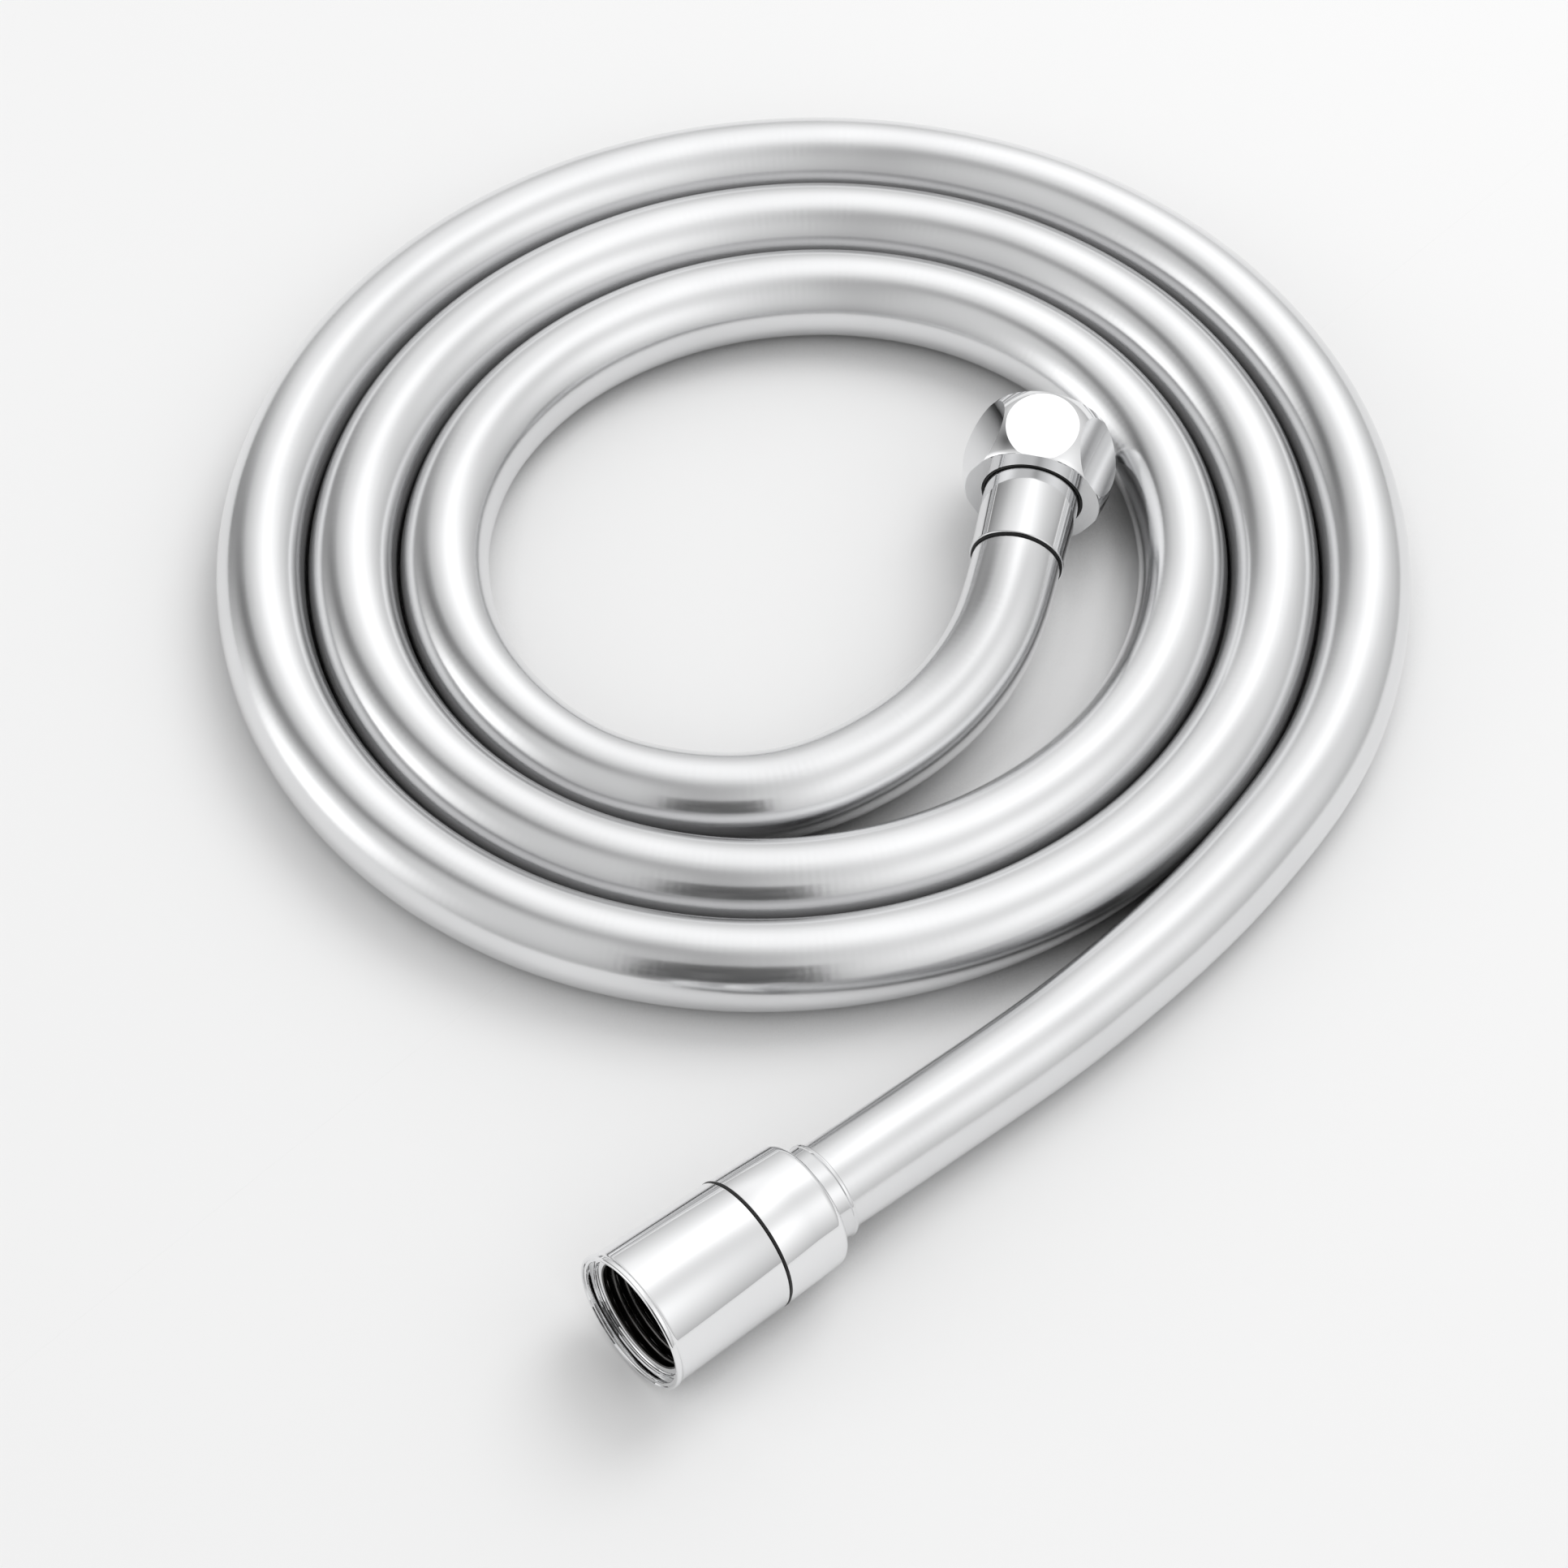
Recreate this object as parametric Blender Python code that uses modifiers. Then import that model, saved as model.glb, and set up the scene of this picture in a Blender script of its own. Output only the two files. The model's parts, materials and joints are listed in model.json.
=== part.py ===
"""A 1.6 m shower hose for a handheld bath sprayer, lying as one flat coil on a floor at z = 0.

One end has a sliding hexagon nut for the water supply, the other a two-piece cone nut that
swivels, for the spray head. Metres, +Z up. The origin is on the floor, under the middle of the
object's bounding box.
"""

import math

import bpy
from mathutils import Matrix, Vector

MM = 0.001

# Hose layers, outermost first: corner radius of the faceted tube, wall and number of sides.
# The jacket stands for a round hose of 15.2 mm, halfway between its flats and its corners.
JACKET = (7.73 * MM, 0.70 * MM, 12)
FILM = (6.60 * MM, 0.35 * MM, 8)
BRAID = (6.08 * MM, 0.45 * MM, 8)
LINER = (5.46 * MM, 0.90 * MM, 8)

# The flat coil. Its lowest flats lie on the floor, and each turn nearly touches the next.
HOSE_HEIGHT = JACKET[0] * math.cos(math.pi / JACKET[2])
TURN_SPACING = 15.6 * MM
COIL_CENTRE = Vector((-4.3 * MM, 31.2 * MM, 0.0))
COIL_START_RADIUS = 49.4 * MM
COIL_OVAL = 2.7 * MM
COIL_OVAL_LEAN = math.radians(32)
COIL_FROM = 120
COIL_TO = 1120
COIL_STEP = 40

# Where each end fitting's axis meets the face of its mouth, and the way the mouth looks
HEX_MOUTH = Vector((39.6 * MM, 54.8 * MM, 13.5 * MM))
HEX_TURN = math.radians(78.5)
CONE_MOUTH = Vector((-27.2 * MM, -119.3 * MM, 12.6 * MM))
CONE_TURN = math.radians(220.2)
CONE_RISE = math.radians(2.9)

# Every length of the end fittings is in millimetres from here on, and a depth is measured
# from the mouth of the fitting towards the hose.

# Radius of the plain bore that stands for a half-inch pipe thread, between crest and root
THREAD_BORE = 9.6

# Depths where the hose and its ferrule end, and to where the hose then stays straight
HEX_HOSE_END = 17.4
HEX_FERRULE_END = 28.6
HEX_STRAIGHT_END = 30.5
CONE_HOSE_END = 25.6
CONE_FERRULE_END = 39.5
CONE_STRAIGHT_END = 41.0

# Hexagon nut: a barrel, widest at one depth, with six flats cut on it
HEX_LENGTH = 14.5
HEX_ACROSS_FLATS = 23.0
HEX_WIDEST = 7.6
HEX_CORNER_RADIUS = 13.1
HEX_FRONT_RADIUS = 11.1
HEX_BACK_RADIUS = 11.6

TURN_STEPS = 24
SHARP_EDGE = math.radians(35)


def clear_scene():
    for thing in list(bpy.data.objects):
        bpy.data.objects.remove(thing, do_unlink=True)


def new_collection(name):
    collection = bpy.data.collections.new(name)
    bpy.context.scene.collection.children.link(collection)
    return collection


def new_finish(name, colour, metallic, roughness):
    material = bpy.data.materials.new(name)
    material.use_nodes = True
    shader = material.node_tree.nodes["Principled BSDF"]
    shader.inputs["Base Color"].default_value = (*colour, 1.0)
    shader.inputs["Metallic"].default_value = metallic
    shader.inputs["Roughness"].default_value = roughness
    material.diffuse_color = (*colour, 1.0)
    return material


clear_scene()
PARTS = new_collection("shower_hose")
CUTTERS = new_collection("cutters")

CHROME = new_finish("chrome", (0.80, 0.81, 0.82), 1.0, 0.10)
STEEL = new_finish("ferrule_steel", (0.74, 0.75, 0.76), 1.0, 0.20)
BRASS = new_finish("brass", (0.78, 0.62, 0.32), 1.0, 0.30)
BLACK_PLASTIC = new_finish("black_plastic", (0.02, 0.02, 0.02), 0.0, 0.40)
RUBBER = new_finish("black_rubber", (0.03, 0.03, 0.03), 0.0, 0.70)
CLEAR_VINYL = new_finish("clear_vinyl", (0.80, 0.81, 0.82), 0.0, 0.12)
SILVER_FILM = new_finish("silver_film", (0.75, 0.76, 0.77), 1.0, 0.25)
YARN = new_finish("polyester_yarn", (0.90, 0.90, 0.88), 0.0, 0.80)
LINER_VINYL = new_finish("liner_vinyl", (0.65, 0.66, 0.66), 0.0, 0.50)


def add_part(name, data, finish, parent=None, matrix=None):
    """An object of the model, with its finish, placed in the world or in its parent's frame."""
    part = bpy.data.objects.new(name, data)
    data.materials.append(finish)
    PARTS.objects.link(part)
    part.parent = parent
    if matrix is not None:
        part.matrix_local = matrix
    return part


def add_frame(name, mouth, turn, rise=0.0):
    """An empty on a fitting's axis at its mouth. +Z looks out of the mouth, and +Y is up."""
    way_out = Vector(
        (
            math.cos(turn) * math.cos(rise),
            math.sin(turn) * math.cos(rise),
            math.sin(rise),
        )
    )
    across = Vector((0, 0, 1)).cross(way_out).normalized()
    up = way_out.cross(across)
    frame = bpy.data.objects.new(name, None)
    frame.empty_display_size = 0.01
    PARTS.objects.link(frame)
    turned_to = Matrix((across, up, way_out)).transposed().to_4x4()
    frame.matrix_world = Matrix.Translation(mouth) @ turned_to
    return frame


def along(frame, depth):
    """The world point on a fitting's axis at this depth."""
    return frame.matrix_world @ Vector((0, 0, -depth * MM))


def turned(name, frame, finish, outside, inside):
    """A ring turned about a fitting's axis. Both sides are (depth, radius) pairs, from the mouth
    towards the hose."""
    outline = [*outside, *reversed(inside)]
    count = len(outline)
    points = []
    faces = []
    for step in range(TURN_STEPS):
        angle = 2 * math.pi * step / TURN_STEPS
        here = step * count
        there = (step + 1) % TURN_STEPS * count
        for i, (depth, radius) in enumerate(outline):
            j = (i + 1) % count
            points.append(Vector((radius * math.cos(angle), radius * math.sin(angle), -depth)) * MM)
            faces.append((here + i, here + j, there + j, there + i))
    mesh = bpy.data.meshes.new(name)
    mesh.from_pydata(points, [], faces)
    mesh.shade_smooth()
    mesh.set_sharp_from_angle(angle=SHARP_EDGE)
    return add_part(name, mesh, finish, frame)


def rounded(depth, radius, rounding, steps=4):
    """(depth, radius) pairs of a rounded rear outer edge that ends at this depth and radius."""
    turn = [math.pi / 2 * i / steps for i in range(steps + 1)]
    return [
        (
            depth - rounding + rounding * math.sin(angle),
            radius - rounding + rounding * math.cos(angle),
        )
        for angle in turn
    ]


def o_ring(name, frame, depth, radius, thickness):
    """A rubber ring round a fitting's axis, centred on this depth."""
    bpy.ops.mesh.primitive_torus_add(
        major_segments=TURN_STEPS,
        minor_segments=6,
        major_radius=radius * MM,
        minor_radius=thickness / 2 * MM,
    )
    made = bpy.context.object
    mesh = made.data
    bpy.data.objects.remove(made)
    mesh.name = name
    mesh.shade_smooth()
    return add_part(name, mesh, RUBBER, frame, Matrix.Translation((0, 0, -depth * MM)))


def barbs(first, count, pitch, low, high):
    """(depth, radius) pairs of a barbed shank: each barb rises slowly and drops at once."""
    pairs = []
    for i in range(count):
        start = first + i * pitch
        pairs += [(start, low), (start + 0.35, high), (start + pitch * 0.9, low)]
    return pairs


# ---- Hose -----------------------------------------------------------------------------------


def coil_point(degrees):
    """A point of the flat coil. Seen from above, the hose runs clockwise and outwards."""
    angle = math.radians(degrees)
    radius = (
        COIL_START_RADIUS
        + TURN_SPACING * angle / (2 * math.pi)
        + COIL_OVAL * math.cos(2 * angle + COIL_OVAL_LEAN)
    )
    way = Vector((math.cos(angle), -math.sin(angle), 0))
    return COIL_CENTRE + radius * way + Vector((0, 0, HOSE_HEIGHT))


def smooth_line(points, steps):
    """Points along a centripetal Catmull-Rom curve through these points."""
    ends = [2 * points[0] - points[1], *points, 2 * points[-1] - points[-2]]
    line = []
    for a, b, c, d in zip(ends, ends[1:], ends[2:], ends[3:]):
        ta = math.sqrt((b - a).length)
        tb = math.sqrt((c - b).length)
        tc = math.sqrt((d - c).length)
        leave = (b - a) / ta - (c - a) / (ta + tb) + (c - b) / tb
        arrive = (c - b) / tb - (d - b) / (tb + tc) + (d - c) / tc
        for i in range(steps):
            t = i / steps
            line.append(
                (2 * t**3 - 3 * t**2 + 1) * b
                + (t**3 - 2 * t**2 + t) * tb * leave
                + (3 * t**2 - 2 * t**3) * c
                + (t**3 - t**2) * tb * arrive
            )
    return [*line, points[-1]]


def hose_route(hex_frame, cone_frame):
    """The hose's centreline, from inside the hexagon end's ferrule to inside the cone end's."""
    to_coil = [
        Vector((29.7 * MM, 11.6 * MM, 11.2 * MM)),
        Vector((18.0 * MM, -4.4 * MM, 8.6 * MM)),
        Vector((-5.3 * MM, -17.8 * MM, HOSE_HEIGHT)),
    ]
    from_coil = [
        Vector((44.3 * MM, -58.5 * MM, HOSE_HEIGHT)),
        Vector((17.7 * MM, -81.1 * MM, 8.7 * MM)),
    ]
    coil = [coil_point(a) for a in range(COIL_FROM, COIL_TO + 1, COIL_STEP)]
    return [
        along(hex_frame, HEX_HOSE_END),
        along(hex_frame, HEX_STRAIGHT_END),
        *to_coil,
        *coil,
        *from_coil,
        along(cone_frame, CONE_STRAIGHT_END),
        along(cone_frame, CONE_HOSE_END),
    ]


def hose_layer(name, finish, line, radius, wall, sides):
    """One layer of the hose wall, a faceted tube with flat sides beside and below."""
    curve = bpy.data.curves.new(name, "CURVE")
    curve.dimensions = "3D"
    curve.twist_mode = "Z_UP"
    curve.bevel_depth = radius
    curve.bevel_resolution = (sides - 4) // 2
    spline = curve.splines.new("POLY")
    spline.points.add(len(line) - 1)
    for point, place in zip(spline.points, line):
        point.co = (*place, 1)
        point.tilt = math.pi / sides
    layer = add_part(name, curve, finish)
    shell = layer.modifiers.new("wall", "SOLIDIFY")
    shell.thickness = wall
    shell.offset = -1
    return layer


# ---- Hexagon end ----------------------------------------------------------------------------


def hex_outside():
    """The hexagon nut's barrel outline, before its six flats are cut."""
    pairs = []
    for end, radius in ((0, HEX_FRONT_RADIUS), (HEX_LENGTH, HEX_BACK_RADIUS)):
        away = end - HEX_WIDEST
        drop = HEX_CORNER_RADIUS - radius
        pairs += [(HEX_WIDEST + away * i / 5, HEX_CORNER_RADIUS - drop * (i / 5) ** 2) for i in range(6)]
    return sorted(set(pairs))


def build_hex_nut(frame):
    nut = turned(
        "hex_nut",
        frame,
        CHROME,
        hex_outside(),
        [(0, 10.7), (0.8, THREAD_BORE), (12.6, THREAD_BORE), (12.6, 8.95), (14.5, 8.95)],
    )
    bpy.ops.mesh.primitive_cylinder_add(
        vertices=6,
        radius=HEX_ACROSS_FLATS / 2 / math.cos(math.pi / 6) * MM,
        depth=4 * HEX_LENGTH * MM,
    )
    flats = bpy.context.object
    flats.name = "hex_flats"
    flats.data.transform(Matrix.Rotation(math.radians(30), 4, "Z"))
    for collection in list(flats.users_collection):
        collection.objects.unlink(flats)
    CUTTERS.objects.link(flats)
    flats.parent = frame
    flats.display_type = "WIRE"
    flats.hide_render = True
    cut = nut.modifiers.new("flats", "BOOLEAN")
    cut.operation = "INTERSECT"
    cut.object = flats


def build_hex_end(frame):
    build_hex_nut(frame)
    turned("hex_washer", frame, RUBBER, [(8.3, 9.1), (10.2, 9.1)], [(8.3, 5.2), (10.2, 5.2)])
    turned(
        "hex_tail",
        frame,
        BRASS,
        [(10.5, 9.15), (12.3, 9.15), (12.3, 8.1), (15.3, 8.1), (15.3, 5.2), (17.1, 5.2)]
        + barbs(17.2, 3, 3.0, 3.5, 3.9)
        + [(28.6, 3.5)],
        [(10.5, 2.8), (28.6, 2.8)],
    )
    turned(
        "hex_slip_ring",
        frame,
        BLACK_PLASTIC,
        [(12.6, 8.75), (15.2, 8.75)],
        [(12.6, 8.35), (15.2, 8.35)],
    )
    turned(
        "hex_ferrule",
        frame,
        STEEL,
        [(15.6, 7.7), (16.0, 8.15), (HEX_FERRULE_END, 8.15)],
        [(15.6, 5.5), (16.9, 5.5), (16.9, 7.9), (HEX_FERRULE_END, 7.9)],
    )
    turned(
        "hex_end_ring",
        frame,
        BLACK_PLASTIC,
        [(28.9, 8.2), (29.1, 8.4), (29.5, 8.4), (29.7, 8.2)],
        [(28.9, 7.9), (29.7, 7.9)],
    )


# ---- Cone end -------------------------------------------------------------------------------


def build_cone_end(frame):
    turned(
        "cone_nut",
        frame,
        CHROME,
        [(0, 11.9), (0.3, 12.1), (0.9, 12.1), (1.4, 11.8), (21.9, 11.35), (22.3, 11.1)],
        [(0, 11.3), (1.2, 10.6), (1.8, THREAD_BORE), (14.2, THREAD_BORE)]
        + [(14.2, 6.8), (16.2, 6.8), (16.2, 9.8), (22.3, 9.8)],
    )
    turned("cone_washer", frame, RUBBER, [(9.8, 9.1), (11.7, 9.1)], [(9.8, 5.2), (11.7, 5.2)])
    turned(
        "cone_spigot",
        frame,
        BRASS,
        [(12.0, 9.1), (13.9, 9.1), (13.9, 6.5), (20.6, 6.5)],
        [(12.0, 3.2), (13.4, 3.2), (13.4, 5.1), (20.6, 5.1)],
    )
    grooves = [(14.9, 4.8), (14.9, 3.8), (16.3, 3.8), (16.3, 4.8)]
    grooves += [(depth + 2.8, radius) for depth, radius in grooves]
    turned(
        "cone_tail",
        frame,
        BRASS,
        [(13.8, 4.8), *grooves, (20.9, 4.8), (20.9, 7.4), (22.2, 7.4), (22.2, 5.2), (25.2, 5.2)]
        + barbs(25.4, 3, 3.0, 3.5, 3.9)
        + [(38.5, 3.5)],
        [(13.8, 2.8), (38.5, 2.8)],
    )
    for i, name in enumerate(("cone_o_ring_front", "cone_o_ring_rear")):
        o_ring(name, frame, 15.6 + 2.8 * i, 4.45, 1.0)
    turned(
        "swivel_ring",
        frame,
        BLACK_PLASTIC,
        [(18.2, 9.5), (22.6, 9.5), (22.6, 11.2), (22.75, 11.4), (23.25, 11.4), (23.4, 11.2)],
        [(18.2, 7.9), (22.5, 7.9), (22.5, 5.6), (23.4, 5.6)],
    )
    turned(
        "cone_sleeve",
        frame,
        CHROME,
        [(23.7, 11.05), (24.0, 11.3), *rounded(35.5, 10.6, 1.6)],
        [(23.7, 9.9), (34.0, 9.2), (34.3, 8.5), (35.5, 8.5)],
    )
    turned(
        "cone_ferrule",
        frame,
        STEEL,
        [(23.9, 7.7), (24.3, 8.15), (38.4, 8.15), (38.7, 8.35), (39.3, 8.35)]
        + [(CONE_FERRULE_END, 8.15)],
        [(23.9, 5.5), (25.2, 5.5), (25.2, 7.9), (CONE_FERRULE_END, 7.9)],
    )


def build():
    hex_frame = add_frame("hex_axis", HEX_MOUTH, HEX_TURN)
    cone_frame = add_frame("cone_axis", CONE_MOUTH, CONE_TURN, CONE_RISE)
    bpy.context.view_layer.update()
    build_hex_end(hex_frame)
    build_cone_end(cone_frame)
    line = smooth_line(hose_route(hex_frame, cone_frame), 2)
    hose_layer("clear_jacket", CLEAR_VINYL, line, *JACKET)
    hose_layer("silver_film", SILVER_FILM, line, *FILM)
    hose_layer("braid_sleeve", YARN, line, *BRAID)
    hose_layer("inner_tube", LINER_VINYL, line, *LINER)


build()
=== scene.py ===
"""The look of a coiled silver shower hose: one smooth hose, a hexagon nut and a swivelling cone nut.

Metres, +Z up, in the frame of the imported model. Depths along a fitting are measured from its
mouth towards the hose, in millimetres.
"""

import json
import math

import bpy
import numpy as np
from mathutils import Matrix, Vector


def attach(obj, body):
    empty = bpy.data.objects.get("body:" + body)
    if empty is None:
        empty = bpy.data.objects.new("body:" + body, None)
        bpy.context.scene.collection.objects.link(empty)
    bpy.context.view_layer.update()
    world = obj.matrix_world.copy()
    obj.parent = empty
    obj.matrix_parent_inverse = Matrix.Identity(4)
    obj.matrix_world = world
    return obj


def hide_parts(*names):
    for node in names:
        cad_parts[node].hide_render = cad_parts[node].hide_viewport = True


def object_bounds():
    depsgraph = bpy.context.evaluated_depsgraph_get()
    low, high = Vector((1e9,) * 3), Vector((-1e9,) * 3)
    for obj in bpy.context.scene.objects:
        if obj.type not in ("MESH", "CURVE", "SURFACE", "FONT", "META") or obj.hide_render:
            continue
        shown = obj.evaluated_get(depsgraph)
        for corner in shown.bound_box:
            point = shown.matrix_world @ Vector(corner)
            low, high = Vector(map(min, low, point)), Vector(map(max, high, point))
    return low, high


MM = 0.001

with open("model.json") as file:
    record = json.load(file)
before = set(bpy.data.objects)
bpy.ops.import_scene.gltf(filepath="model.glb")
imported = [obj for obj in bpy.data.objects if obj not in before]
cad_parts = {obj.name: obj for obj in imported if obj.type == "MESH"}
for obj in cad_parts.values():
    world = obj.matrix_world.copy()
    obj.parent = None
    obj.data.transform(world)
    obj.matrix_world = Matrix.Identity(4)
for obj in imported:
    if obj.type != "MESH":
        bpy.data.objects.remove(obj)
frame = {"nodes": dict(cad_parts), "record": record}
cad_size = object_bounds()

# ---- Camera ---------------------------------------------------------------------------------

CAMERA_TARGET = Vector((-0.00485, -0.01573, 0.0078))
CAMERA_DISTANCE = 0.816
CAMERA_ELEVATION = math.radians(55.96)
CAMERA_ROLL = math.radians(1.01)
CAMERA_LENS = 113.0
CAMERA_SENSOR = 36


def make_camera():
    """A long lens in front of the coil, above it and rolled a little."""
    data = bpy.data.cameras.new("camera")
    data.sensor_width = CAMERA_SENSOR
    data.lens = CAMERA_LENS
    data.clip_start = 0.05
    camera = bpy.data.objects.new("camera", data)
    bpy.context.scene.collection.objects.link(camera)
    back = Vector((0, -math.cos(CAMERA_ELEVATION), math.sin(CAMERA_ELEVATION)))
    up = Vector((1, 0, 0)).cross(-back)
    right = Matrix.Rotation(CAMERA_ROLL, 3, back) @ Vector((1, 0, 0))
    up = Matrix.Rotation(CAMERA_ROLL, 3, back) @ up
    camera.matrix_world = Matrix.Translation(CAMERA_TARGET + back * CAMERA_DISTANCE) @ (
        Matrix((right, up, back)).transposed().to_4x4()
    )
    bpy.context.scene.camera = camera


# ---- Frames of the two end fittings ----------------------------------------------------------


def fitting_frame(joint):
    """The matrix of a fitting: +Z out of its mouth, +Y up, and the origin at its mouth."""
    facts = next(j for j in frame["record"]["behaviour"]["joints"] if j["name"] == joint)
    way_out = Vector(facts["axis"]).normalized()
    across = Vector((0, 0, 1)).cross(way_out).normalized()
    up = way_out.cross(across)
    return Matrix.Translation(facts["pos_m"]) @ Matrix((across, up, way_out)).transposed().to_4x4()


HEX = fitting_frame("hex_nut_spin")
CONE = fitting_frame("cone_nut_spin")


def along(fitting, depth):
    """The point on a fitting's axis at this depth from its mouth."""
    return fitting @ Vector((0, 0, -depth * MM))


# ---- Hose -----------------------------------------------------------------------------------

HOSE_DIAMETER = 15.2 * MM
HOSE_HEIGHT = 7.55 * MM
TURN_SPACING = 15.6 * MM
COIL_CENTRE = Vector((-4.3 * MM, 31.2 * MM, HOSE_HEIGHT))
COIL_START_RADIUS = 49.4 * MM
COIL_OVAL = 2.7 * MM
COIL_OVAL_LEAN = math.radians(32)
HEX_HOSE_END = 17.4
HEX_STRAIGHT_END = 30.5
CONE_HOSE_END = 25.6
CONE_STRAIGHT_END = 41.0
HOSE_SPACING = 2.0 * MM
HOSE_SIDES = 48
COIL_ANGLES = range(120, 1121, 20)
CURVE_STEPS = 12
SMOOTHING_ROUNDS = 10


def coil_point(degrees):
    """A point of the flat coil. Seen from above, the hose runs clockwise and outwards."""
    angle = math.radians(degrees)
    radius = (
        COIL_START_RADIUS
        + TURN_SPACING * angle / (2 * math.pi)
        + COIL_OVAL * math.cos(2 * angle + COIL_OVAL_LEAN)
    )
    return COIL_CENTRE + radius * Vector((math.cos(angle), -math.sin(angle), 0))


def smooth_line(points, steps):
    """Points along a centripetal Catmull-Rom curve through these points."""
    ends = [2 * points[0] - points[1], *points, 2 * points[-1] - points[-2]]
    line = []
    for a, b, c, d in zip(ends, ends[1:], ends[2:], ends[3:]):
        ta = math.sqrt((b - a).length)
        tb = math.sqrt((c - b).length)
        tc = math.sqrt((d - c).length)
        leave = (b - a) / ta - (c - a) / (ta + tb) + (c - b) / tb
        arrive = (c - b) / tb - (d - b) / (tb + tc) + (d - c) / tc
        for i in range(steps):
            t = i / steps
            line.append(
                (2 * t**3 - 3 * t**2 + 1) * b
                + (t**3 - 2 * t**2 + t) * tb * leave
                + (3 * t**2 - 2 * t**3) * c
                + (t**3 - t**2) * tb * arrive
            )
    return [*line, points[-1]]


def hose_line():
    """The hose's centreline, evenly spaced and with no sudden change in its bend."""
    points = [
        along(HEX, HEX_HOSE_END),
        along(HEX, HEX_STRAIGHT_END),
        Vector((29.7 * MM, 11.6 * MM, 11.2 * MM)),
        Vector((18.0 * MM, -4.4 * MM, 8.6 * MM)),
        Vector((-5.3 * MM, -17.8 * MM, HOSE_HEIGHT)),
        *(coil_point(angle) for angle in COIL_ANGLES),
        Vector((44.3 * MM, -58.5 * MM, HOSE_HEIGHT)),
        Vector((17.7 * MM, -81.1 * MM, 8.7 * MM)),
        along(CONE, CONE_STRAIGHT_END),
        along(CONE, CONE_HOSE_END),
    ]
    line = np.array(smooth_line(points, CURVE_STEPS))
    gone = distances(line)
    places = np.linspace(0, gone[-1], round(gone[-1] / HOSE_SPACING))
    line = np.stack([np.interp(places, gone, line[:, i]) for i in range(3)], axis=1)
    for _ in range(SMOOTHING_ROUNDS):
        line[1:-1] = (line[:-2] + 2 * line[1:-1] + line[2:]) / 4
    return line


def distances(line):
    """How far along the line each of its points is."""
    return np.concatenate([[0], np.cumsum(np.linalg.norm(np.diff(line, axis=0), axis=1))])


def new_object(name, mesh, material, body):
    made = bpy.data.objects.new(name, mesh)
    mesh.materials.append(material)
    bpy.context.scene.collection.objects.link(made)
    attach(made, body)
    return made


def tube_mesh(name, line, radius, sides):
    """A closed round tube. Its UV map holds metres along it and metres round it."""
    forward = np.gradient(line, axis=0)
    forward /= np.linalg.norm(forward, axis=1, keepdims=True)
    side = np.cross([0, 0, 1], forward)
    side /= np.linalg.norm(side, axis=1, keepdims=True)
    up = np.cross(forward, side)
    angles = np.linspace(0, 2 * math.pi, sides, endpoint=False)
    rings = (
        line[:, None]
        + radius * np.cos(angles)[None, :, None] * side[:, None]
        + radius * np.sin(angles)[None, :, None] * up[:, None]
    )
    count = len(line)
    faces = []
    corners = []
    gone = distances(line)
    width = 2 * math.pi * radius / sides
    for i in range(count - 1):
        for j in range(sides):
            k = (j + 1) % sides
            faces.append((i * sides + k, i * sides + j, (i + 1) * sides + j, (i + 1) * sides + k))
            near, far = gone[i], gone[i + 1]
            corners += [(near, (j + 1) * width), (near, j * width), (far, j * width)]
            corners.append((far, (j + 1) * width))
    faces.append(tuple(range(sides)))
    faces.append(tuple((count - 1) * sides + j for j in reversed(range(sides))))
    corners += [(0, 0)] * (2 * sides)
    mesh = bpy.data.meshes.new(name)
    mesh.from_pydata(rings.reshape(-1, 3).tolist(), [], faces)
    mesh.shade_smooth()
    mesh.set_sharp_from_angle(angle=math.radians(40))
    layer = mesh.uv_layers.new(name="hose_metres")
    layer.data.foreach_set("uv", np.array(corners, np.float32).ravel())
    return mesh


# ---- Materials ------------------------------------------------------------------------------


class Nodes:
    """Builds the node tree of a material or a world with short calls."""

    def __init__(self, owner, shader="Principled BSDF"):
        owner.use_nodes = True
        self.owner = owner
        self.tree = owner.node_tree
        self.shader = self.tree.nodes[shader]

    def add(self, kind, inputs=(), **settings):
        node = self.tree.nodes.new(kind)
        for key, value in settings.items():
            setattr(node, key, value)
        for key, value in dict(inputs).items():
            self.feed(node.inputs[key], value)
        return node

    def feed(self, socket, value):
        if isinstance(value, bpy.types.NodeSocket):
            self.tree.links.new(value, socket)
        else:
            socket.default_value = value

    def math(self, operation, *values):
        return self.add("ShaderNodeMath", dict(enumerate(values)), operation=operation).outputs[0]

    def noise(self, vector, scale, detail=2.0, roughness=0.5):
        inputs = {"Vector": vector, "Scale": scale, "Detail": detail, "Roughness": roughness}
        return self.add("ShaderNodeTexNoise", inputs).outputs["Fac"]

    def spread(self, value, low, high, to_low, to_high):
        """value from low..high mapped to to_low..to_high, and held beyond them."""
        inputs = {0: value, 1: low, 2: high, 3: to_low, 4: to_high}
        return self.add("ShaderNodeMapRange", inputs).outputs[0]

    def colours(self, value, first, second):
        inputs = {"Factor": value, 6: first, 7: second}
        return self.add("ShaderNodeMix", inputs, data_type="RGBA").outputs[2]

    def bump(self, height, distance, strength=1.0, normal=None):
        inputs = {"Height": height, "Distance": distance, "Strength": strength}
        if normal is not None:
            inputs["Normal"] = normal
        return self.add("ShaderNodeBump", inputs).outputs["Normal"]

    def place(self):
        return self.add("ShaderNodeTexCoord").outputs["Object"]

    def set(self, **inputs):
        for key, value in inputs.items():
            self.feed(self.shader.inputs[key.replace("_", " ")], value)


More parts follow.
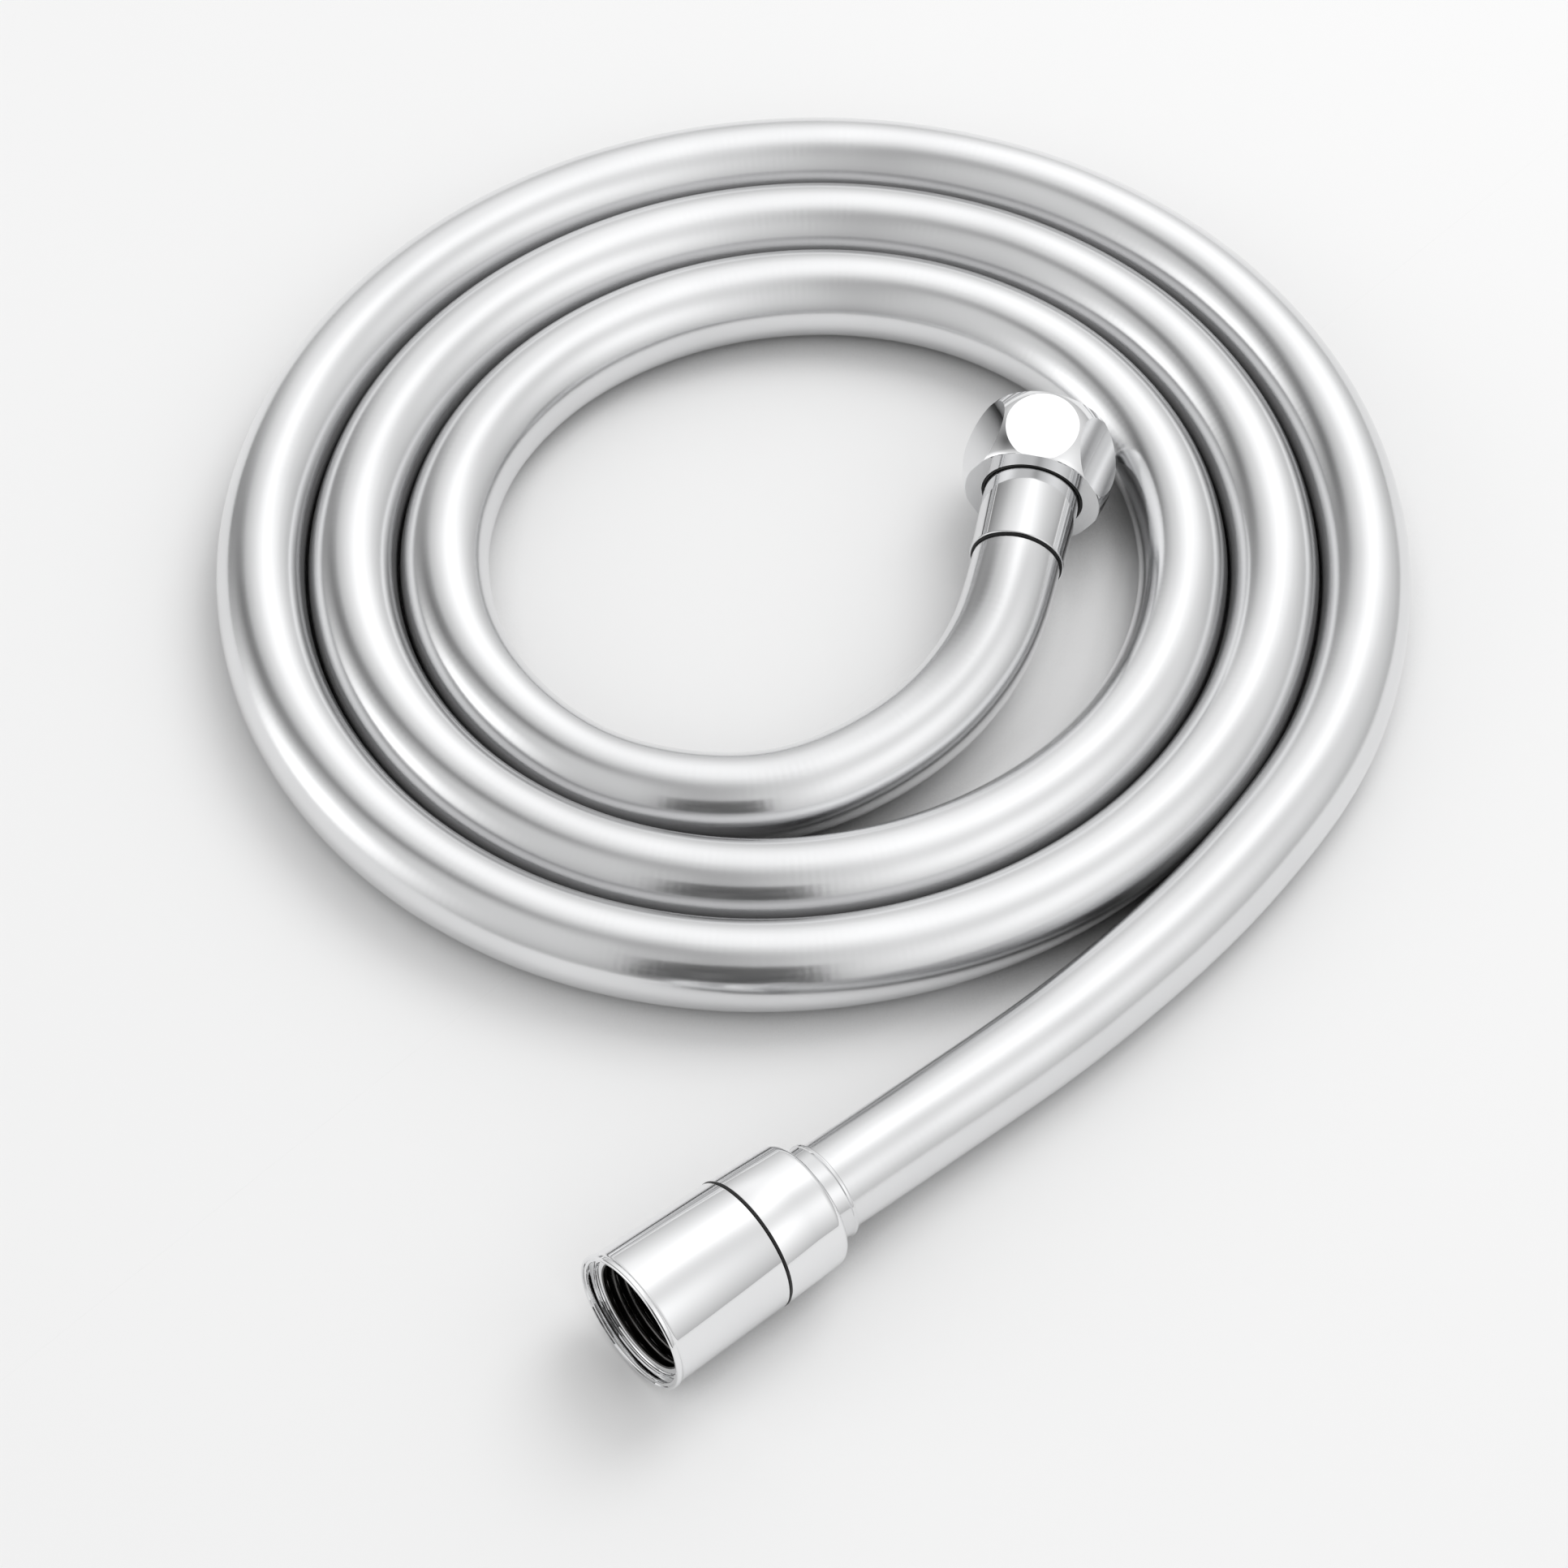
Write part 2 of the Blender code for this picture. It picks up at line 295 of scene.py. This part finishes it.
BRAID_STRANDS = 20
BRAID_LEAN = 0.9
FILM_LEAN = 0.35
BRAID_RELIEF = 0.0000028
GRAIN_RELIEF = 0.000003
SWELL_RELIEF = 0.00012
# Painted shade in the creases between turns: how far the hose's occlusion of itself reaches, how it
# falls off, and the metallic left in the deepest crease.
CREASE_SHADE_REACH = 0.005
CREASE_SHADE_POWER = 0.75
CREASE_METAL = 0.2


def hose_material():
    """Metallised film under a clear glossy skin, with the braid just showing through.

    Painted shade darkens the creases between two turns, and they are made less metallic there.
    """
    n = Nodes(bpy.data.materials.new("silver_hose"))
    uv = n.add("ShaderNodeUVMap", uv_map="hose_metres").outputs["UV"]
    parts = n.add("ShaderNodeSeparateXYZ", {0: uv}).outputs
    place = n.place()
    circumference = math.pi * HOSE_DIAMETER

    def strands(lean, count):
        """Bands that wind round the hose, count of them side by side, one way or the other."""
        turn = n.math("MULTIPLY", parts[1], count * 2 * math.pi / circumference)
        run = n.math("MULTIPLY", parts[0], lean * count * 2 * math.pi / circumference)
        return n.math("SINE", n.math("ADD", turn, run))

    worn = n.spread(n.noise(place, 240, 2), 0.4, 0.65, 0.1, 1.0)
    left = strands(BRAID_LEAN, BRAID_STRANDS)
    right = strands(-BRAID_LEAN, BRAID_STRANDS)
    net = n.math("MULTIPLY", left, right)
    braid = n.math("MULTIPLY", net, worn)
    film = strands(FILM_LEAN, 1)
    drift = n.noise(place, 28, 2)
    fine = n.noise(place, 1500, 2)
    mottle = n.math("ADD", n.math("MULTIPLY", drift, 0.7), n.math("MULTIPLY", film, 0.05))
    shade = n.spread(mottle, 0.2, 0.5, 0.0, 1.0)
    silver = n.colours(shade, (0.70, 0.703, 0.71, 1), (0.78, 0.783, 0.79, 1))
    # Painted shade: the hose's occlusion of itself darkens the silver in the creases between turns to
    # dark grey, and to near black deepest in.
    reach = {"Distance": CREASE_SHADE_REACH}
    crease = n.add("ShaderNodeAmbientOcclusion", reach, only_local=True, samples=8)
    depth = n.math("SUBTRACT", 1, n.math("POWER", crease.outputs["AO"], CREASE_SHADE_POWER))
    crease_shaded_silver = n.colours(depth, silver, (0.42, 0.42, 0.424, 1))
    deepest_crease_shade = n.spread(depth, 0.7, 0.95, 0.0, 1.0)
    tone = n.colours(deepest_crease_shade, crease_shaded_silver, (0.14, 0.14, 0.142, 1))
    rough = n.spread(n.math("ADD", drift, n.math("MULTIPLY", fine, 0.3)), 0.3, 1.0, 0.17, 0.25)
    swell = n.bump(n.noise(place, 60, 1), SWELL_RELIEF)
    weave = n.bump(braid, BRAID_RELIEF, normal=swell)
    grain = n.bump(fine, GRAIN_RELIEF, normal=weave)
    # The creases are also made less metallic, as part of the painted shade.
    metal = n.spread(depth, 0.45, 0.9, 1.0, CREASE_METAL)
    n.set(Base_Color=tone, Metallic=metal, Roughness=rough, Normal=grain)
    n.set(Coat_Weight=0.6, Coat_Roughness=0.06, Coat_IOR=1.5, Coat_Normal=swell)
    return n.owner


def chrome_material(name="chrome", tone=0.85, polish=0.025):
    """Plated brass, with faint wipe marks and a trace of the polishing wheel."""
    n = Nodes(bpy.data.materials.new(name))
    place = n.place()
    smear = n.noise(place, 90, 3, 0.6)
    fine = n.noise(place, 900, 2)
    colour = n.colours(smear, (tone * 0.96, tone * 0.965, tone * 0.975, 1),
                       (tone, tone * 1.003, tone * 1.01, 1))
    rough = n.spread(n.math("ADD", smear, n.math("MULTIPLY", fine, 0.4)), 0.4, 1.0,
                     polish, polish * 2.2)
    wave = n.bump(n.noise(place, 140, 1), 0.00001)
    n.set(Base_Color=colour, Metallic=1.0, Roughness=rough, Normal=wave)
    return n.owner


def steel_material():
    """The ferrules: bright drawn steel."""
    return chrome_material("ferrule_steel", 0.76, 0.05)


def bore_shade_material():
    """The inside of a nut, painted near black as shade for its depth, and varied a little at random.
    """
    n = Nodes(bpy.data.materials.new("bore_painted_shade"))
    place = n.place()
    stain = n.noise(place, 260, 3, 0.6)
    # Painted shade: a near-black colour stands for the depth of the thread and bore, varied a little
    # at random by the stain noise.
    colour = n.colours(stain, (0.05, 0.05, 0.05, 1), (0.16, 0.155, 0.15, 1))
    rough = n.spread(stain, 0.3, 0.7, 0.16, 0.3)
    n.set(Base_Color=colour, Metallic=1.0, Roughness=rough,
          Normal=n.bump(n.noise(place, 2500, 2), 0.000006))
    return n.owner


def brass_material():
    """Bare turned brass, a little stained."""
    n = Nodes(bpy.data.materials.new("turned_brass"))
    place = n.place()
    stain = n.noise(place, 220, 3, 0.6)
    colour = n.colours(stain, (0.60, 0.44, 0.20, 1), (0.80, 0.64, 0.34, 1))
    rough = n.spread(stain, 0.3, 0.7, 0.22, 0.38)
    n.set(Base_Color=colour, Metallic=1.0, Roughness=rough,
          Normal=n.bump(n.noise(place, 1800, 2), 0.000008))
    return n.owner


def plain_material(name, dark, light, low, high, grain, depth):
    """A non-metal whose colour, roughness and grain vary a little."""
    n = Nodes(bpy.data.materials.new(name))
    place = n.place()
    cloud = n.noise(place, 180, 3, 0.6)
    n.set(
        Base_Color=n.colours(cloud, (*dark, 1), (*light, 1)),
        Roughness=n.spread(cloud, 0.3, 0.7, low, high),
        Normal=n.bump(n.noise(place, grain, 2), depth),
        Specular_IOR_Level=0.25,
    )
    return n.owner


# How far the painted contact shadow on the floor reaches.
FLOOR_SHADOW_REACH = 0.014


def floor_material():
    """A matt pale sheet, with painted shadow where the object all but closes it in."""
    n = Nodes(bpy.data.materials.new("floor"))
    place = n.place()
    cloud = n.noise(place, 3, 2)
    pale = n.colours(cloud, (0.885, 0.885, 0.885, 1), (0.905, 0.905, 0.905, 1))
    # Painted shadow: the floor's occlusion by the object darkens it to dark grey near the hose and
    # under the hexagon nut.
    openness = n.add("ShaderNodeAmbientOcclusion", {"Distance": FLOOR_SHADOW_REACH}, samples=4)
    painted_contact_shadow = n.spread(openness.outputs["AO"], 0.05, 0.38, 1.0, 0.0)
    n.set(Base_Color=n.colours(painted_contact_shadow, pale, (0.12, 0.12, 0.12, 1)))
    n.set(Roughness=0.6, Specular_IOR_Level=0.0)
    return n.owner


# ---- Pieces turned about a fitting's axis ----------------------------------------------------

THREAD_PITCH = 1.814
THREAD_CREST = 9.33
THREAD_ROOT = 10.45
THREAD_STEPS = 16
THREAD_RUN_IN = 0.5
THREAD_RUN_OUT = 1.2
BORE_EDGE = 10.6


def arc(centre, radius, start, stop, steps=6):
    """(depth, radius) pairs round a corner, its angles in degrees from the direction of depth."""
    return [
        (
            centre[0] + radius * math.cos(math.radians(start + (stop - start) * i / steps)),
            centre[1] + radius * math.sin(math.radians(start + (stop - start) * i / steps)),
        )
        for i in range(steps + 1)
    ]


def threaded(start, stop):
    """(depth, None) pairs: the rings of a female thread, whose radius depends on the angle."""
    count = round((stop - start) / THREAD_PITCH * THREAD_STEPS)
    return [(start + (stop - start) * i / count, None) for i in range(count + 1)]


def thread_radius(depth, turn, start, stop):
    """The wall of a right-hand female thread, which fades out at both of its ends."""
    cut = 0.5 - 0.5 * math.cos(2 * math.pi * (depth / THREAD_PITCH + turn))
    fade = min(1.0, (depth - start) / THREAD_RUN_IN, (stop - depth) / THREAD_RUN_OUT)
    return THREAD_CREST + (THREAD_ROOT - THREAD_CREST) * cut * max(0.0, fade)


def turned_mesh(name, fitting, outline, segments=128, sharp=28.0):
    """A closed ring whose outline is (depth, radius) pairs, up its outside and down its inside."""
    threads = [depth for depth, radius in outline if radius is None]
    points = []
    faces = []
    count = len(outline)
    for step in range(segments):
        turn = step / segments
        angle = 2 * math.pi * turn
        here = step * count
        there = (step + 1) % segments * count
        for i, (depth, radius) in enumerate(outline):
            if radius is None:
                radius = thread_radius(depth, turn, min(threads), max(threads))
            j = (i + 1) % count
            points.append(Vector((radius * math.cos(angle), radius * math.sin(angle), -depth)) * MM)
            faces.append((here + i, here + j, there + j, there + i))
    mesh = bpy.data.meshes.new(name)
    mesh.from_pydata(points, [], faces)
    mesh.transform(fitting)
    mesh.shade_smooth()
    mesh.set_sharp_from_angle(angle=math.radians(sharp))
    return mesh


def turned(name, fitting, outline, material, body, node, slot, **shape):
    """A turned piece that rides on the body and replaces the CAD node."""
    piece = new_object(name, turned_mesh(name, fitting, outline, **shape), material, body)
    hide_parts(node)
    return piece


def repaint(mesh, fitting, material, test):
    """Gives a second material to the faces whose middle passes the test of (depth, radius)."""
    mesh.materials.append(material)
    to_fitting = fitting.inverted()
    for face in mesh.polygons:
        middle = to_fitting @ face.center
        if test(-middle.z / MM, math.hypot(middle.x, middle.y) / MM):
            face.material_index = len(mesh.materials) - 1


# ---- Hexagon end ----------------------------------------------------------------------------

HEX_LENGTH = 14.5
HEX_ACROSS_FLATS = 23.0
HEX_WIDEST = 7.6
HEX_CORNER_RADIUS = 13.1
HEX_FRONT_RADIUS = 11.1
HEX_BACK_RADIUS = 11.8
HEX_SEGMENTS = 168
NUT_SEGMENTS = 192
BARREL_START = 0.3
BARREL_RUN = 13.9
BARREL_STEPS = 28


def barrel_radius(depth):
    """The bulging outside of the hexagon nut, widest at HEX_WIDEST."""
    end, radius = (0, HEX_FRONT_RADIUS) if depth < HEX_WIDEST else (HEX_LENGTH, HEX_BACK_RADIUS)
    away = (depth - HEX_WIDEST) / (end - HEX_WIDEST)
    return HEX_CORNER_RADIUS - (HEX_CORNER_RADIUS - radius) * away**2


def hex_nut_mesh():
    """A threaded barrel with six flats, each a smooth oval where it meets the barrel."""
    depths = [BARREL_START + BARREL_RUN * i / BARREL_STEPS for i in range(BARREL_STEPS + 1)]
    barrel = [(depth, barrel_radius(depth)) for depth in depths]
    outline = [
        (0.0, HEX_FRONT_RADIUS - 0.35),
        (0.08, HEX_FRONT_RADIUS - 0.1),
        *barrel,
        (HEX_LENGTH - 0.07, HEX_BACK_RADIUS - 0.03),
        (HEX_LENGTH, HEX_BACK_RADIUS - 0.18),
        (HEX_LENGTH, 8.82),
        (HEX_LENGTH - 0.12, 8.7),
        (12.6, 8.7),
        (12.6, 9.7),
        *reversed(threaded(1.2, 12.2)),
        (0.9, 9.5),
        (0.0, 10.55),
    ]
    shape = turned_mesh("hex_nut_shape", Matrix.Identity(4), outline, segments=HEX_SEGMENTS)
    blank = bpy.data.objects.new("blank", shape)
    side = HEX_ACROSS_FLATS / 2 / math.cos(math.pi / 6) * MM
    turns = [math.pi / 3 * i for i in range(6)]
    ends = [-4 * HEX_LENGTH * MM, HEX_LENGTH * MM]
    corners = [(side * math.cos(t), side * math.sin(t), z) for z in ends for t in turns]
    walls = [(i, (i + 1) % 6, (i + 1) % 6 + 6, i + 6) for i in range(6)]
    prism = bpy.data.meshes.new("hex_prism")
    prism.from_pydata(corners, [], [*walls, (5, 4, 3, 2, 1, 0), (6, 7, 8, 9, 10, 11)])
    cutter = bpy.data.objects.new("hex_prism", prism)
    for thing in (blank, cutter):
        bpy.context.scene.collection.objects.link(thing)
    cut = blank.modifiers.new("flats", "BOOLEAN")
    cut.operation = "INTERSECT"
    cut.object = cutter
    graph = bpy.context.evaluated_depsgraph_get()
    mesh = bpy.data.meshes.new_from_object(blank.evaluated_get(graph))
    for thing in (blank, cutter):
        bpy.data.objects.remove(thing)
    mesh.transform(HEX)
    mesh.shade_smooth()
    mesh.set_sharp_from_angle(angle=math.radians(14))
    return mesh


def build_hex_end(finishes):
    nut = new_object("hexagon_nut", hex_nut_mesh(), finishes["chrome"], "hex_nut_turner")
    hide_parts("hex_nut")
    # The thread and bore inside the hexagon nut get the painted-shade bore material.
    repaint(
        nut.data,
        HEX,
        finishes["bore"],
        lambda depth, radius: 1.0 < depth < 12.7 and radius < BORE_EDGE,
    )
    turned(
        "slip_ring",
        HEX,
        [(12.65, 8.66), (14.4, 8.66), (14.5, 8.58), (14.5, 8.3), (12.65, 8.3)],
        finishes["black"],
        "hex_nut_slider",
        "hex_slip_ring",
        "black_plastic",
    )
    ferrule = turned(
        "hexagon_end_ferrule",
        HEX,
        [(14.55, 8.13), (14.55, 8.2), (14.7, 8.24), (15.3, 8.2), (28.1, 8.15)]
        + [*arc((28.35, 7.97), 0.2, 90, 0), (28.55, 7.75), (27.6, 7.72), (16.9, 7.8), (16.9, 5.5)]
        + [(15.4, 5.5), (15.4, 8.13)],
        finishes["steel"],
        "root",
        "hex_ferrule",
        "ferrule_steel",
    )
    end_ring = turned(
        "hexagon_end_ring",
        HEX,
        [(28.6, 7.72), *arc((28.68, 7.82), 0.08, 180, 90), *arc((28.75, 7.82), 0.08, 90, 0)]
        + [(28.95, 7.64), (28.6, 7.64)],
        finishes["black"],
        "root",
        "hex_end_ring",
        "black_plastic",
    )
    washer = turned(
        "hexagon_end_washer",
        HEX,
        [(8.3, 8.9), (8.5, 9.1), (10.0, 9.1), (10.2, 8.9), (10.2, 5.4), (10.0, 5.2), (8.5, 5.2)]
        + [(8.3, 5.4)],
        finishes["rubber"],
        "root",
        "hex_washer",
        "black_rubber",
    )
    return [ferrule, end_ring, washer]


# ---- Cone end -------------------------------------------------------------------------------


def build_cone_end(finishes):
    nut = turned(
        "cone_nut_front",
        CONE,
        [(0.0, 11.75), *arc((0.35, 11.75), 0.35, 180, 90), *arc((0.75, 11.75), 0.35, 90, 35)]
        + [(1.3, 11.82), (1.6, 11.8), (22.58, 11.36), (22.68, 11.32), (22.76, 11.2), (22.76, 11.0)]
        + [(22.3, 10.9), (22.3, 9.8), (16.2, 9.8), (16.2, 6.8), (14.2, 6.8), (14.2, 9.9), (13.0, 9.9)]
        + [*reversed(threaded(2.6, 12.8)), (2.4, 9.35), (2.25, 9.6), (2.05, 10.3), (1.9, 10.42)]
        + [*arc((1.55, 10.42), 0.2, 0, 170), (1.32, 10.72), (1.3, 10.95), (0.75, 11.0)]
        + [*arc((0.5, 11.02), 0.16, 0, 180), (0.3, 11.2), (0.3, 11.42), (0.08, 11.52)],
        finishes["chrome"],
        "cone_swivel",
        "cone_nut",
        "chrome",
        segments=NUT_SEGMENTS,
    )
    # The thread and bore inside the cone nut get the painted-shade bore material.
    repaint(
        nut.data,
        CONE,
        finishes["bore"],
        lambda depth, radius: depth > 2.2 and radius < BORE_EDGE,
    )
    turned(
        "swivel_seam_ring",
        CONE,
        [(18.2, 9.5), (22.6, 9.5), (22.6, 10.8), (22.8, 10.9), (22.8, 11.34), (22.86, 11.4)]
        + [(23.14, 11.4), (23.2, 11.34), (23.2, 5.6), (22.5, 5.6), (22.5, 7.9), (18.2, 7.9)],
        finishes["black"],
        "cone_swivel",
        "swivel_ring",
        "black_plastic",
    )
    turned(
        "cone_end_washer",
        CONE,
        [(9.8, 8.9), (10.0, 9.1), (11.5, 9.1), (11.7, 8.9), (11.7, 5.4), (11.5, 5.2), (10.0, 5.2)]
        + [(9.8, 5.4)],
        finishes["rubber"],
        "cone_swivel",
        "cone_washer",
        "black_rubber",
    )
    sleeve = turned(
        "cone_nut_sleeve",
        CONE,
        [(23.24, 11.2), (23.32, 11.3), (23.47, 11.33), (30.0, 11.1), (33.8, 10.87)]
        + [*arc((34.05, 9.42), 1.45, 90, 0, 10), (35.45, 8.6), (35.2, 8.4), (34.3, 8.4)]
        + [(34.0, 9.2), (23.24, 9.9)],
        finishes["chrome"],
        "root",
        "cone_sleeve",
        "chrome",
        segments=NUT_SEGMENTS,
    )
    ferrule = turned(
        "cone_end_ferrule",
        CONE,
        [(23.9, 7.7), (24.3, 8.15), (38.1, 8.15), (38.35, 8.2), (38.5, 8.36)]
        + [*arc((38.85, 8.1), 0.3, 110, 0), (39.2, 7.72), (38.2, 7.7), (25.2, 7.85), (25.2, 5.5)]
        + [(23.9, 5.5)],
        finishes["steel"],
        "root",
        "cone_ferrule",
        "ferrule_steel",
    )
    return [sleeve, ferrule]


# ---- Studio ---------------------------------------------------------------------------------

# The studio's soft lights, and the dark gaps between them, which have a strength below 0. Each is an
# oval in the sky seen from above, a disc of radius 1: its middle, its half sizes along and across its
# lean, its lean in degrees, and its strength. They began as a fit to the photo's reflections, and were
# then adjusted and rounded.
SKY = (
    ((0.35, 0.70), (0.20, 0.35), 55, 0.40),  # softbox behind, to the right
    ((0.10, 0.40), (0.45, 0.25), 95, 0.50),  # long light above, from front to back
    ((0.60, -0.40), (0.50, 0.25), 70, 0.40),  # light in front, to the right
    ((-0.95, -0.10), (0.40, 0.15), 105, 0.80),  # low light along the left
    ((-0.40, 1.05), (0.20, 0.40), 35, 0.40),  # low light behind, to the left
    ((-0.35, 0.95), (0.20, 0.10), 0, -0.25),  # gap in that low light
    ((-0.70, 0.45), (0.35, 0.15), 75, -0.30),  # gap behind, to the left
    ((-0.45, 0.15), (0.35, 0.15), 135, -0.40),  # gap on the left
    ((-0.05, -0.20), (0.70, 0.15), 85, -0.25),  # long gap above, from front to back
)
SKY_ABOVE = 0.60
SKY_LOW = 0.31
SKY_FADE = 0.35
SKY_STRENGTH = 1.35
BACKDROP = 0.62


def make_room():
    """A pale studio, darker towards the floor, with its soft lights and the dark gaps between."""
    n = Nodes(bpy.data.worlds.new("studio"), "Background")
    bpy.context.scene.world = n.owner
    direction = n.add("ShaderNodeTexCoord").outputs["Generated"]
    height = n.add("ShaderNodeSeparateXYZ", {0: direction}).outputs[2]
    low = n.math("EXPONENT", n.math("DIVIDE", n.math("MAXIMUM", height, 0.0), -SKY_FADE))
    light = n.math("MULTIPLY_ADD", low, SKY_LOW - SKY_ABOVE, SKY_ABOVE)
    for middle, reach, lean, strength in SKY:
        inputs = {
            "Vector": direction,
            "Location": (*middle, 0),
            "Rotation": (0, 0, math.radians(lean)),
            "Scale": (*reach, 1000),
        }
        spot = n.add("ShaderNodeMapping", inputs, vector_type="TEXTURE").outputs[0]
        away = n.add("ShaderNodeVectorMath", {0: spot, 1: spot}, operation="DOT_PRODUCT").outputs[1]
        glow = n.math("EXPONENT", n.math("MULTIPLY", away, -1))
        light = n.math("MULTIPLY_ADD", glow, strength, light)
    seen = n.add("ShaderNodeLightPath").outputs["Is Camera Ray"]
    n.set(Color=n.spread(seen, 0, 1, light, BACKDROP), Strength=SKY_STRENGTH)


def add_lamp(name, place, target, size, power):
    """A soft lamp that lights the floor and shows in no reflection."""
    data = bpy.data.lights.new(name, "AREA")
    data.shape = "DISK"
    data.size = size
    data.energy = power
    lamp = bpy.data.objects.new(name, data)
    bpy.context.scene.collection.objects.link(lamp)
    lamp.location = place
    lamp.rotation_euler = (Vector(target) - Vector(place)).to_track_quat("-Z", "Y").to_euler()
    lamp.visible_glossy = False
    lamp.visible_camera = False


# The dark card's painted glow ranges between these two strengths.
CARD_SHADE = (0.04, 0.20)
CARD_MIDDLE = Vector((-0.021, -0.186, 0.108))
CARD_WIDTH = 0.106
CARD_HEIGHT = 0.176
# Reflections nearer than the first distance show the card whole, and past the second not at all.
CARD_REACH = (0.24, 0.27)


def add_dark_card():
    """A dark upright card in front of the coil, there only to paint dark reflections, with a faint
    painted glow. Only reflections show it, and only near ones.
    """
    n = Nodes(bpy.data.materials.new("dark_card"))
    n.set(Base_Color=(0, 0, 0, 1), Roughness=1.0, Specular_IOR_Level=0.0)
    cloud = n.noise(n.place(), 45, 3, 0.6)
    # Painted reflection: the card's faint, cloudy glow is what the hose and nuts reflect as dark
    # patches.
    n.set(Emission_Color=(1, 1, 1, 1), Emission_Strength=n.spread(cloud, 0.38, 0.62, *CARD_SHADE))
    away = n.add("ShaderNodeLightPath").outputs["Ray Length"]
    n.set(Alpha=n.spread(away, *CARD_REACH, 1.0, 0.0))
    x, z = CARD_WIDTH / 2, CARD_HEIGHT / 2
    mesh = bpy.data.meshes.new("dark_card")
    mesh.from_pydata([(-x, 0, -z), (x, 0, -z), (x, 0, z), (-x, 0, z)], [], [(0, 1, 2, 3)])
    mesh.materials.append(n.owner)
    card = bpy.data.objects.new("dark_card", mesh)
    card.location = CARD_MIDDLE
    bpy.context.scene.collection.objects.link(card)
    card.visible_camera = False
    card.visible_diffuse = False
    card.visible_shadow = False


FLOOR_REACH = 8.0
FLOOR_GAP = 0.0001


def make_floor():
    """A wide pale floor just under the lowest point of the object."""
    far = FLOOR_REACH
    mesh = bpy.data.meshes.new("floor")
    corners = [(-far, -far, 0), (far, -far, 0), (far, far, 0), (-far, far, 0)]
    mesh.from_pydata(corners, [], [(0, 1, 2, 3)])
    mesh.materials.append(floor_material())
    floor = bpy.data.objects.new("floor", mesh)
    floor.location.z = cad_size[0][2] - FLOOR_GAP
    bpy.context.scene.collection.objects.link(floor)


# ---- The whole scene ------------------------------------------------------------------------

make_camera()
FINISHES = {
    "chrome": chrome_material(),
    "steel": steel_material(),
    # bore: the painted shade inside the nuts
    "bore": bore_shade_material(),
    "brass": brass_material(),
    "black": plain_material("black_nylon", (0.008,) * 3, (0.016,) * 3, 0.32, 0.48, 1200, 0.000006),
    "rubber": plain_material("black_rubber", (0.012,) * 3, (0.03,) * 3, 0.6, 0.8, 2200, 0.00001),
}
hose_path = hose_line()
hose = new_object(
    "hose", tube_mesh("hose", hose_path, HOSE_DIAMETER / 2, HOSE_SIDES), hose_material(), "root"
)
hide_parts("clear_jacket", "silver_film", "braid_sleeve", "inner_tube")
hex_pieces = build_hex_end(FINISHES)
cone_pieces = build_cone_end(FINISHES)
for node, finish in (("hex_tail", "steel"), ("cone_spigot", "brass"), ("cone_tail", "brass")):
    frame["nodes"][node].material_slots[0].material = FINISHES[finish]
for node in ("cone_o_ring_front", "cone_o_ring_rear"):
    frame["nodes"][node].material_slots[0].material = FINISHES["rubber"]
make_room()
add_lamp("key", place=(0.38, 0.42, 0.85), target=(0, 0, 0), size=0.6, power=2.2)
add_dark_card()
make_floor()
bpy.context.scene.view_settings.view_transform = "Standard"
